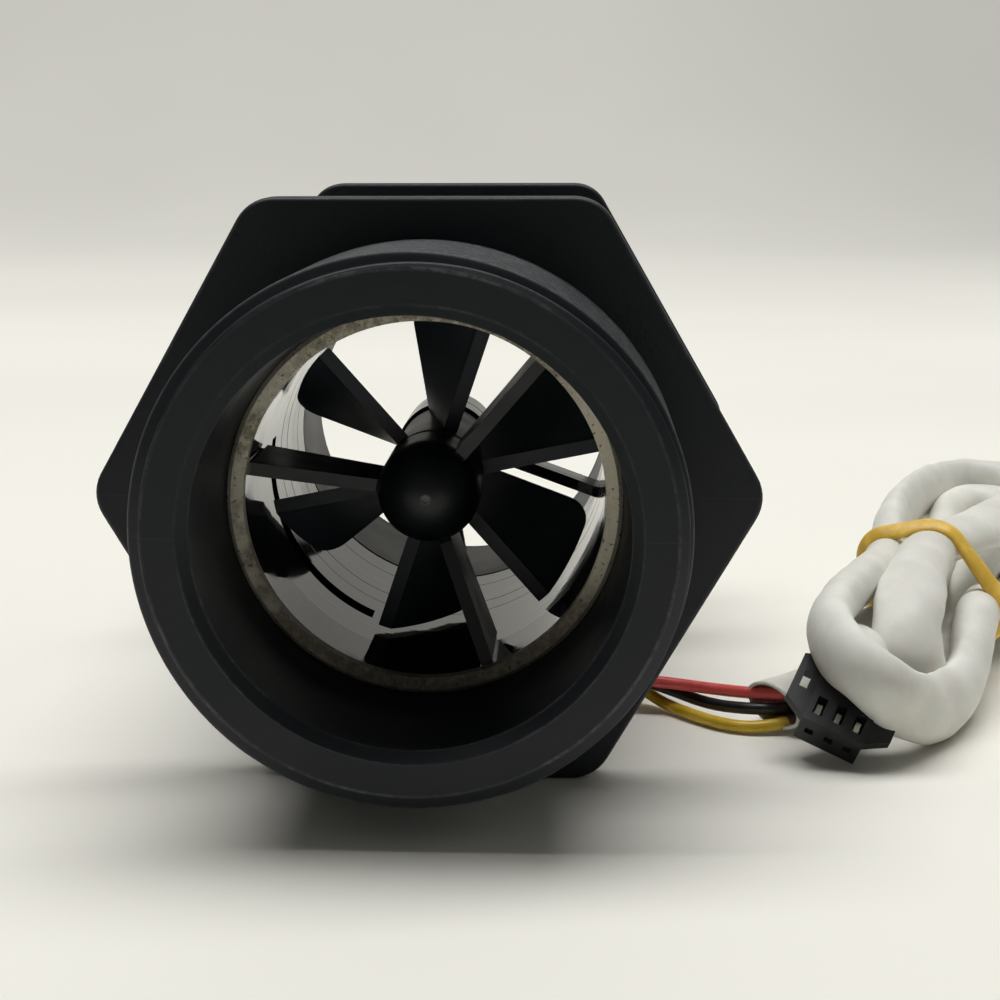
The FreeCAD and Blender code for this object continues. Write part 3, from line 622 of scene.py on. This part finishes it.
class MeterSizes(bpy.types.PropertyGroup):
    """Sizes that a user would change."""

    thread_pitch: bpy.props.FloatProperty(
        name="Thread pitch", description="Distance between two crests of the pipe thread",
        default=2.309 * MM, unit="LENGTH")
    thread_depth: bpy.props.FloatProperty(
        name="Thread depth", description="From the thread's crest to its root",
        default=1.45 * MM, unit="LENGTH")
    thread_start: bpy.props.FloatProperty(
        name="Thread start", description="Angle at which the first groove opens",
        default=math.radians(54), subtype="ANGLE")
    sleeve_diameter: bpy.props.FloatProperty(
        name="Sleeve diameter", description="Outer diameter of the limp sleeve",
        default=5.8 * MM, unit="LENGTH")
    wire_diameter: bpy.props.FloatProperty(
        name="Wire diameter", description="Outer diameter of one insulated wire",
        default=1.6 * MM, unit="LENGTH")
    band_width: bpy.props.FloatProperty(
        name="Band width", description="Width of the rubber band",
        default=2.5 * MM, unit="LENGTH")


class MeterColours(bpy.types.PropertyGroup):
    """Colours that a user would change."""

    body_dark: colour_property("Body, dark", "Darker tone of the body", (0.0066, 0.0092, 0.0122))
    body_light: colour_property("Body, light", "Paler tone of the body", (0.0094, 0.0124, 0.0158))
    # Pale tone for scuffed rims; it is also the painted highlight on rims and thread crests.
    body_wear_and_highlight: colour_property("Body, worn", "Tone of worn edges", (0.10, 0.104, 0.107))
    sleeve_dark: colour_property("Sleeve, dark", "Darker tone of the sleeve", (0.68, 0.665, 0.605))
    sleeve_light: colour_property("Sleeve, light", "Paler tone of the sleeve", (0.80, 0.79, 0.735))
    band_dark: colour_property("Band, dark", "Darker tone of the band", (0.74, 0.46, 0.06))
    band_light: colour_property("Band, light", "Paler tone of the band", (0.92, 0.64, 0.12))
    floor: colour_property("Floor", "Tone of the floor", (1.0, 0.982, 0.90))


def sizes():
    return bpy.context.scene.flow_meter_sizes


def colours():
    return bpy.context.scene.flow_meter_colours


# ---------------------------------------------------------------- operators

class FLOWMETER_OT_camera(bpy.types.Operator):
    """Places the camera in front of the inlet, a little above it"""

    bl_idname = "flowmeter.camera"
    bl_label = "Camera"

    lens = 62.77  # focal length on a sensor 36 mm wide
    place = (17.12 * MM, -230.6 * MM, 40.9 * MM)
    heading = math.radians(2.4628)
    look_down = math.radians(11.7070)
    roll = math.radians(-0.1282)

    def execute(self, context):
        data = bpy.data.cameras.new("camera")
        data.lens = self.lens
        data.sensor_width = 36
        data.clip_start = 0.01
        camera = bpy.data.objects.new("camera", data)
        heading = Matrix.Rotation(self.heading, 4, "Z")
        tilt = Matrix.Rotation(math.radians(90) - self.look_down, 4, "X")
        roll = Matrix.Rotation(self.roll, 4, "Z")
        camera.matrix_world = Matrix.Translation(self.place) @ heading @ tilt @ roll
        context.scene.collection.objects.link(camera)
        context.scene.camera = camera
        return {"FINISHED"}


class FLOWMETER_OT_wires(bpy.types.Operator):
    """Lays the three wires from the grommet to the sleeve's mouth"""

    bl_idname = "flowmeter.wires"
    bl_label = "Wires"

    def execute(self, context):
        tones = {
            "red": ((0.70, 0.085, 0.08), (0.82, 0.14, 0.13), 0.0313),
            "black": ((0.008, 0.008, 0.009), (0.018, 0.018, 0.019), 0.0323),
            "yellow": ((0.62, 0.40, 0.02), (0.76, 0.53, 0.05), 0.0310),
        }
        routes = {"red": red_route, "black": black_route, "yellow": yellow_route}
        diameter = sizes().wire_diameter
        for colour, (dark, light, length) in tones.items():
            curve = smooth_line(colour + "_insulation", routes[colour])
            curve.bevel_depth = diameter / 2
            curve.bevel_resolution = 6
            curve.use_fill_caps = True
            wire = bpy.data.objects.new(colour + "_insulation", curve)
            context.scene.collection.objects.link(wire)
            material = insulation_finish(colour + "_vinyl", dark, light)
            curve.materials.append(material)
            dress("connector_wire_" + colour, material)
            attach(wire, "meter")
            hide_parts(colour + "_wire")
        return {"FINISHED"}


class FLOWMETER_OT_sleeve(bpy.types.Operator):
    """Sweeps the limp sleeve along its folded route and ties it with the band"""

    bl_idname = "flowmeter.sleeve"
    bl_label = "Sleeve and band"

    drawn_diameter = 5.8 * MM  # the sleeve's size to which sleeve_shape belongs
    section_step = 0.8 * MM
    wall_thickness = 0.4 * MM
    smoothing = 5  # sections on each side over which the shape is eased
    band_thickness = 1.1 * MM
    band_lift = 0.35 * MM  # from the strands to the middle of the band's thickness
    band_reach = 16 * MM  # how far from the band's middle a strand may cross its plane

    def execute(self, context):
        diameter = sizes().sleeve_diameter
        line = line_points("sleeve_line", sleeve_route)
        points, places = evenly_spaced(line, self.section_step)
        scale = diameter / self.drawn_diameter
        run = arc_length(line)
        per_point = (len(line) - 1) / (len(sleeve_route) - 2)
        rows = np.array([(row[0], row[1], row[2], *row[3]) for row in sleeve_shape])
        nearest = np.clip((rows[:, 0] - 0.5) * per_point, 0, len(line) - 1).astype(int)
        columns = [np.interp(places, run[nearest], column) for column in rows[:, 1:].T]
        kernel = np.hanning(2 * self.smoothing + 1)
        kernel /= kernel.sum()
        shape = np.stack([np.convolve(np.pad(column, self.smoothing, mode="edge"), kernel, mode="valid")
                          for column in columns], axis=1)
        wobble = 0.018 * np.sin(places * 520) + 0.014 * np.sin(places * 1130 + 1.3)
        half_widths = shape[:, 0] * MM * scale * (1 + wobble)
        half_heights = shape[:, 1] * MM * scale * (1 - wobble)
        sleeve, across, over = swept_tube("sleeve", points, half_widths, half_heights, shape[:, 2:])
        sleeve.data.materials.append(sleeve_finish(colours()))
        wall = sleeve.modifiers.new("wall", "SOLIDIFY")
        wall.thickness = self.wall_thickness
        wall.offset = -1
        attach(sleeve, "meter")
        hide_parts("cable_lead", "cable_hank")
        band = self.band(points, half_widths, half_heights, across, over)
        return {"FINISHED"}

    def drawn_tight(self, middle, heading, points, half_widths, half_heights, across, over):
        """The closed line of a band drawn tight round the strands that cross its plane.

        In each direction d of the plane it touches the strand whose support c . d + r(d) is
        largest, where r(d) = sqrt((w d.across)^2 + (h d.over)^2) is the support of an oval
        section of half width w and half height h. The touching point is the gradient of that.
        """
        level = np.array((heading[1], -heading[0], 0.0))
        upward = np.array((0.0, 0.0, 1.0))
        distance = (points - middle) @ heading
        near = np.linalg.norm(points - middle, axis=1) < self.band_reach
        crossing = np.nonzero((distance[:-1] * distance[1:] <= 0) & near[:-1])[0]
        angle = np.linspace(0, 2 * math.pi, 720, endpoint=False)
        ways = level * np.cos(angle)[:, None] + upward * np.sin(angle)[:, None]
        wide = (ways @ across[crossing].T) * half_widths[crossing]
        thin = (ways @ over[crossing].T) * half_heights[crossing]
        reach = np.sqrt(wide ** 2 + thin ** 2)
        centres = points[crossing] - heading * distance[crossing, None]
        outermost = np.argmax(ways @ centres.T + reach, axis=1)
        every = np.arange(len(angle))
        chosen = crossing[outermost]
        ratio = reach[every, outermost][:, None]
        touch = (centres[outermost]
                 + across[chosen] * (wide[every, outermost] * half_widths[chosen])[:, None] / ratio
                 + over[chosen] * (thin[every, outermost] * half_heights[chosen])[:, None] / ratio)
        touch -= heading * ((touch - middle) @ heading)[:, None]
        return np.vstack([touch, touch[:1]])

    def band(self, points, half_widths, half_heights, across, over):
        """The band: a flat strip with rounded edges carried along its tight line.

        The strip is rolled about its own line and ripples a little along the hank, and it is
        flattened where it would go below the floor.
        """
        low, high = (np.array(corner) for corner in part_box("rubber_band"))
        heading = np.array((0.36, 0.933, 0.0))
        closed = self.drawn_tight((low + high) / 2, heading, points, half_widths, half_heights,
                                  across, over)
        run = arc_length(closed)
        count = 144
        spots = np.linspace(0, run[-1], count, endpoint=False)
        ring = np.stack([np.interp(spots, run, closed[:, axis]) for axis in range(3)], axis=1)
        ring = (np.roll(ring, 1, axis=0) + 2 * ring + np.roll(ring, -1, axis=0)) / 4
        forward = np.roll(ring, -1, axis=0) - np.roll(ring, 1, axis=0)
        out = np.cross(forward, heading)
        out /= np.linalg.norm(out, axis=1)[:, None]
        out *= np.sign(np.sum(out * (ring - ring.mean(axis=0)), axis=1))[:, None]
        corners = 16
        section = np.linspace(0, 2 * math.pi, corners, endpoint=False)
        squareness = 0.7
        flat = self.band_thickness / 2 * np.sign(np.cos(section)) * np.abs(np.cos(section)) ** squareness
        strip = sizes().band_width / 2 * np.sign(np.sin(section)) * np.abs(np.sin(section)) ** squareness
        around = np.arange(count) * 2 * math.pi / count
        ripple = 0.35 * MM * np.sin(2 * around + 0.6) + 0.15 * MM * np.sin(5 * around)
        roll = math.radians(38) + 0.25 * np.sin(3 * around + 1.0)
        turned_cos = np.cos(roll)[:, None]
        turned_sin = np.sin(roll)[:, None]
        thick = flat * turned_cos + strip * turned_sin + self.band_lift
        wide = strip * turned_cos - flat * turned_sin + ripple[:, None]
        shell = ring[:, None, :] + out[:, None, :] * thick[:, :, None] + heading * wide[:, :, None]
        shell[..., 2] = np.maximum(shell[..., 2], floor_height + floor_gap)
        band = new_mesh("band", shell.reshape(-1, 3), grid_faces(count, corners, True, True))
        turned_outwards(band)
        band.data.materials.append(band_finish(colours()))
        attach(band, "meter")
        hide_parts("rubber_band")
        return band


def merged_copy(node, name):
    """A copy of a CAD node's mesh with its loose triangles joined."""
    work = bmesh.new()
    work.from_mesh(bpy.data.objects[node].data)
    bmesh.ops.remove_doubles(work, verts=work.verts, dist=1e-7)
    mesh = bpy.data.meshes.new(name)
    work.to_mesh(mesh)
    work.free()
    piece = bpy.data.objects.new(name, mesh)
    bpy.context.scene.collection.objects.link(piece)
    return piece


class FLOWMETER_OT_body(bpy.types.Operator):
    """Takes the moulded body, lowers its stubs to a core and cuts the two threads round them"""

    bl_idname = "flowmeter.body"
    bl_label = "Body and threads"

    crest = 29.8 * MM
    core = 27.9 * MM
    face_radius = 28.2 * MM
    wall = 27.2 * MM
    plate_face = 32.0 * MM
    chamfer_slope = 1.6  # growth of the radius for each step back from the end face
    crest_share = 0.14  # half the pitch's share that stays at the crest
    flank_share = 0.70  # the share over which the groove falls to its root
    runout_start = 0.7 * MM  # from the plate to where the groove begins to open
    runout_length = 0.8 * MM
    columns = 256
    rows_per_pitch = 18

    def execute(self, context):
        finish = body_finish(colours())
        body = self.core_body()
        body.data.materials.append(finish)
        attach(body, "meter")
        for name, direction in (("inlet_thread", -1), ("outlet_thread", 1)):
            thread = self.thread(name, direction)
            thread.data.materials.append(finish)
            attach(thread, "meter")
        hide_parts("meter_body")
        dress("sensor_cover", finish)
        return {"FINISHED"}

    def core_body(self):
        """The CAD body with the points at the stubs' crest moved in to a plain core."""
        body = merged_copy("meter_body", "body_shell")
        mesh = body.data
        points = np.empty(len(mesh.vertices) * 3, dtype=np.float32)
        mesh.vertices.foreach_get("co", points)
        points = points.reshape(-1, 3)
        radius = np.hypot(points[:, 0], points[:, 2])
        at_crest = np.abs(radius - self.crest) < 0.02 * MM
        on_stub = np.abs(points[:, 1]) > self.plate_face - 0.05 * MM
        shrink = np.where(at_crest & on_stub, self.core / np.maximum(radius, 1e-6), 1.0)
        points[:, 0] *= shrink
        points[:, 2] *= shrink
        mesh.vertices.foreach_set("co", points.ravel())
        mesh.update()
        mesh.shade_smooth()
        sharp = body.modifiers.new("creases", "EDGE_SPLIT")
        sharp.split_angle = math.radians(28)
        return body

    def thread(self, name, direction):
        """A right-handed helical thread as a closed ring.

        With s the share of a turn and d the distance from the plate, the radius is the crest
        less the depth times a rounded wave of (length - d) / pitch - s; the groove fades out
        beside the plate and the end is chamfered. Every row of the grid follows the helix,
        d = row * step - pitch * s, held between the plate and the end face, so the last column
        joins the first one a pitch's worth of rows lower. A plain inner wall closes the ring.
        """
        pitch = sizes().thread_pitch
        length = half_length - self.plate_face
        columns = self.columns
        step = pitch / self.rows_per_pitch
        rows = int(math.ceil((length + pitch) / step)) + 3
        share = np.arange(columns)[None, :] / columns
        angle = sizes().thread_start + 2 * math.pi * share * direction
        along = np.clip((np.arange(rows)[:, None] - 1) * step - pitch * share, 0, length)
        phase = (length - along) / pitch - share
        wave = 1 - np.abs(2 * (phase - np.floor(phase)) - 1)
        fall = np.clip((wave - self.crest_share) / self.flank_share, 0, 1)
        groove = 0.5 - 0.5 * np.cos(math.pi * fall)
        fade = np.clip((along - self.runout_start) / self.runout_length, 0, 1)
        radius = self.crest - sizes().thread_depth * groove * fade
        radius = np.minimum(radius, self.face_radius + (length - along) * self.chamfer_slope)
        outer = self.turned(radius, along, angle, direction)
        faces = grid_faces(rows, columns, False, False)
        last = np.arange(self.rows_per_pitch, rows - 1)
        first = last - self.rows_per_pitch
        seam = np.stack([last * columns + columns - 1, first * columns,
                         (first + 1) * columns, (last + 1) * columns + columns - 1], axis=-1)
        wall_radius = np.array([[self.face_radius], [self.wall], [self.wall], [self.crest]])
        wall_along = np.array([[length], [length - 0.6 * MM], [0.0], [0.0]])
        flat = np.ones((1, columns))
        inner = self.turned(wall_radius * flat, wall_along * flat, angle, direction)
        wall = grid_faces(4, columns, False, True) + rows * columns
        points = np.concatenate([outer, inner]).reshape(-1, 3)
        thread = new_mesh(name, points, np.concatenate([faces, seam, wall]))
        return turned_outwards(thread, 1e-7)

    def turned(self, radius, along, angle, direction):
        """Points at a radius, a distance from the plate and an angle round the flow axis."""
        place = np.broadcast_to((self.plate_face + along) * direction, radius.shape)
        return np.stack([radius * np.cos(angle), place, radius * np.sin(angle)], axis=-1)


class FLOWMETER_OT_cartridge(bpy.types.Operator):
    """Gives the ring, spiders, tubes and rotor their finishes"""

    bl_idname = "flowmeter.cartridge"
    bl_label = "Cartridge and rotor"

    def execute(self, context):
        dress("retaining_ring", ring_finish())
        # where two rings meet: the place along the flow and half the joint's width, in mm
        joints = ((-24.3, 0.3), (-6.5, 0.25), (-1.6, 0.3), (3.2, 0.3), (9.2, 0.22), (14.8, 0.3))
        bore = bore_finish("bore_plastic", 0.09, (0.0060, 0.0072, 0.0085), joints)
        for node in ("rotor_tube", "spacer_tube"):
            dress(node, bore)
        dress("outlet_spider", bore_finish("outlet_plastic", 0.16, (0.007, 0.0075, 0.008), joints[3:]))
        dress("inlet_spider", self.hub_finish())
        rotor = rotor_finish()
        for node in ("rotor", "magnet_cap"):
            dress(node, rotor)
        bush = plain_finish("bush_acetal", (0.36, 0.34, 0.29), (0.46, 0.44, 0.39), 0.4)
        for node in ("inlet_bush", "outlet_bush", "thrust_washers"):
            dress(node, bush)
        steel = plain_finish("ground_steel", (0.46, 0.46, 0.45), (0.6, 0.6, 0.59), 0.25, 1.0, 900)
        for node in ("rotor_shaft", "cover_screws", "board_screws"):
            dress(node, steel)
        dress("rotor_magnet", plain_finish("ferrite", (0.03, 0.03, 0.033), (0.06, 0.06, 0.065), 0.5))
        rubber = plain_finish("black_rubber", (0.006, 0.006, 0.006), (0.013, 0.013, 0.013), 0.6)
        for node in ("seal_ring", "cover_gasket", "cable_grommet"):
            dress(node, rubber)
        return {"FINISHED"}

    def hub_finish(self):
        """The inlet spider: satin hub and arms, a glossy wall and a pale mark on its nose."""
        finish = Finish("hub_plastic")
        radius = radius_from_axis(finish)
        tip = 1 - radius.between(0.35 * MM, 0.75 * MM)
        cloud = finish.noise(220, 3).between(0.35, 0.7)
        colour = finish.mix(cloud, (0.0026, 0.0040, 0.0060), (0.0044, 0.0060, 0.0082))
        colour = finish.mix(tip * 0.9, colour, (0.16, 0.16, 0.155))
        wall = radius.between(20.4 * MM, 20.8 * MM)
        return finish.set(Base_Color=colour, Roughness=0.38 + 0.12 * cloud - 0.36 * wall,
                          Specular_IOR_Level=0.4,
                          Normal=finish.bump(finish.noise(1100, 2), 0.08, 0.05 * MM))


class FLOWMETER_OT_pickup(bpy.types.Operator):
    """Gives the circuit board and its parts their finishes"""

    bl_idname = "flowmeter.pickup"
    bl_label = "Pick-up"

    def execute(self, context):
        mask = plain_finish("solder_mask", (0.008, 0.07, 0.025), (0.015, 0.12, 0.045), 0.3)
        dress("circuit_board", mask)
        epoxy = plain_finish("black_epoxy", (0.010, 0.010, 0.011), (0.022, 0.022, 0.023), 0.45)
        for node in ("hall_chip", "board_resistor"):
            dress(node, epoxy)
        dress("board_capacitor", plain_finish("ceramic", (0.28, 0.19, 0.10), (0.38, 0.27, 0.15), 0.45))
        vinyl = insulation_finish("lead_vinyl", (0.008, 0.008, 0.009), (0.018, 0.018, 0.019))
        dress("board_leads", vinyl)
        return {"FINISHED"}


class FLOWMETER_OT_connector(bpy.types.Operator):
    """Gives the three-way connector its nylon and tinned finishes"""

    bl_idname = "flowmeter.connector"
    bl_label = "Connector"

    def execute(self, context):
        nylon = plain_finish("connector_nylon", (0.0075, 0.008, 0.009), (0.015, 0.016, 0.017), 0.42,
                             scale=1500, strength=0.2)
        dress("connector_housing", nylon)
        tin = plain_finish("tinned_metal", (0.62, 0.60, 0.52), (0.86, 0.84, 0.76), 0.22, 1.0, 1400)
        dress("connector_contacts", tin)
        return {"FINISHED"}


class FLOWMETER_OT_stage(bpy.types.Operator):
    """Builds the pale floor, the backdrop and the soft lights"""

    bl_idname = "flowmeter.stage"
    bl_label = "Stage"

    def execute(self, context):
        floor = self.sheet()
        self.lamp("overhead", place=(-0.02, 0.06, 0.80), target=(-0.01, 0.0, 0.0),
                  size=(1.05, 0.25), energy=7.4)
        self.lamp("side", place=(0.9, -0.1, 0.5), target=(0.0, 0.0, 0.0),
                  size=(0.5, 0.5), energy=0.35)
        world = bpy.data.worlds.new("studio")
        world.use_nodes = True
        background = world.node_tree.nodes["Background"]
        background.inputs["Color"].default_value = (0.95, 0.96, 0.93, 1)
        background.inputs["Strength"].default_value = 0.085
        context.scene.world = world
        context.scene.view_settings.view_transform = "Standard"
        return {"FINISHED"}

    def sheet(self):
        """A floor that rises into a backdrop.

        Its profile is a straight run, a quarter circle and an upright; the surface is that
        profile moved sideways. Beside the object the lamps light it, over a base colour painted
        lighter and darker by distance back to follow their light and shade; further back the
        paper glows with a painted brightness that falls off with distance and is a little
        darker to the right, and this glow takes over smoothly.
        """
        front = -1.6
        rear = 0.9
        bend = 0.5
        top = 2.2
        half_width = 2.4
        level = np.r_[front, np.linspace(-0.4, rear, 14)]
        turn = np.linspace(0, math.pi / 2, 24)[1:]
        depth = np.r_[level, rear + bend * np.sin(turn), rear + bend]
        height = np.r_[np.zeros(len(level)), bend * (1 - np.cos(turn)), top]
        across = np.linspace(-half_width, half_width, 9)
        across, depth_grid = np.meshgrid(across, depth, indexing="ij")
        height_grid = np.broadcast_to(height + floor_height, across.shape)
        points = np.stack([across, depth_grid, height_grid], axis=-1)
        faces = grid_faces(*across.shape, False, False)[:, ::-1]
        sheet = new_mesh("backdrop", points.reshape(-1, 3), faces)
        finish = Finish("backdrop_paper")
        back = finish.axis(1)
        tint = colours().floor
        mottle = finish.noise(5, 2).between(0.3, 0.7, 0.985, 1.015)
        # Painted light and shade: the floor's base tone near the object is painted lighter and darker by
        # distance back to follow the lamps' light.
        near_painted_tone = self.ramp(finish, back, near_painted_tones)
        # Painted light: further back the paper glows, its painted brightness falling off with distance
        # back.
        far_glow_tone = self.ramp(finish, back, far_painted_glow)
        # Painted shade: far back on the right the glowing paper is painted 13 % darker.
        side = finish.axis(0).between(0.0, 0.4) * back.between(0.5, 1.0)
        glow_share = back.between(0.16, 0.42)
        near = near_painted_tone * mottle * (1 - glow_share)
        far = far_glow_tone * mottle * glow_share * (1 - 0.13 * side)
        black = (0.0, 0.0, 0.0)
        # The glow is emission in the backdrop's colour: painted light, not a lamp.
        finish.set(Base_Color=finish.mix(near, black, tint), Roughness=0.55,
                   Specular_IOR_Level=0.25, Emission_Strength=1.0,
                   Emission_Color=finish.mix(far, black, tint))
        sheet.data.materials.append(finish.material)
        return sheet

    def ramp(self, finish, back, tones):
        """A grey that follows the tones listed by distance back."""
        low = tones[0][0]
        high = tones[-1][0]
        stops = [((place - low) / (high - low), (tone, tone, tone)) for place, tone in tones]
        share = finish.node("ShaderNodeMapRange", {}, {"Value": back, "From Min": low, "From Max": high})
        return finish.node("ShaderNodeValToRGB", {"stops": stops}, {"Fac": share})

    def lamp(self, name, place, target, size, energy):
        """A soft rectangular lamp that faces its target; place and size in metres."""
        data = bpy.data.lights.new(name, "AREA")
        data.shape = "RECTANGLE"
        data.size, data.size_y = size
        data.energy = energy
        lamp = bpy.data.objects.new(name, data)
        lamp.location = place
        aim = Vector(target) - Vector(place)
        lamp.rotation_euler = aim.to_track_quat("-Z", "Y").to_euler()
        bpy.context.scene.collection.objects.link(lamp)


class FLOWMETER_PT_panel(bpy.types.Panel):
    """Lists the makers of each group of pieces"""

    bl_label = "Flow meter"
    bl_idname = "FLOWMETER_PT_panel"
    bl_space_type = "VIEW_3D"
    bl_region_type = "UI"
    bl_category = "Flow meter"

    def draw(self, context):
        for group in (context.scene.flow_meter_sizes, context.scene.flow_meter_colours):
            for name in group.bl_rna.properties.keys():
                if name not in ("rna_type", "name"):
                    self.layout.prop(group, name)
        for operator in operators:
            self.layout.operator(operator.bl_idname)


operators = (
    FLOWMETER_OT_camera,
    FLOWMETER_OT_wires,
    FLOWMETER_OT_sleeve,
    FLOWMETER_OT_body,
    FLOWMETER_OT_cartridge,
    FLOWMETER_OT_pickup,
    FLOWMETER_OT_connector,
    FLOWMETER_OT_stage,
)
classes = (MeterSizes, MeterColours) + operators + (FLOWMETER_PT_panel,)


def register():
    for item in classes:
        bpy.utils.register_class(item)
    bpy.types.Scene.flow_meter_sizes = bpy.props.PointerProperty(type=MeterSizes)
    bpy.types.Scene.flow_meter_colours = bpy.props.PointerProperty(type=MeterColours)


def unregister():
    del bpy.types.Scene.flow_meter_colours
    del bpy.types.Scene.flow_meter_sizes
    for item in reversed(classes):
        bpy.utils.unregister_class(item)


def main():
    register()
    bpy.ops.flowmeter.camera()
    bpy.ops.flowmeter.wires()
    bpy.ops.flowmeter.sleeve()
    bpy.ops.flowmeter.body()
    bpy.ops.flowmeter.cartridge()
    bpy.ops.flowmeter.pickup()
    bpy.ops.flowmeter.connector()
    bpy.ops.flowmeter.stage()
    bpy.context.view_layer.update()


if __name__ == "__main__":
    main()
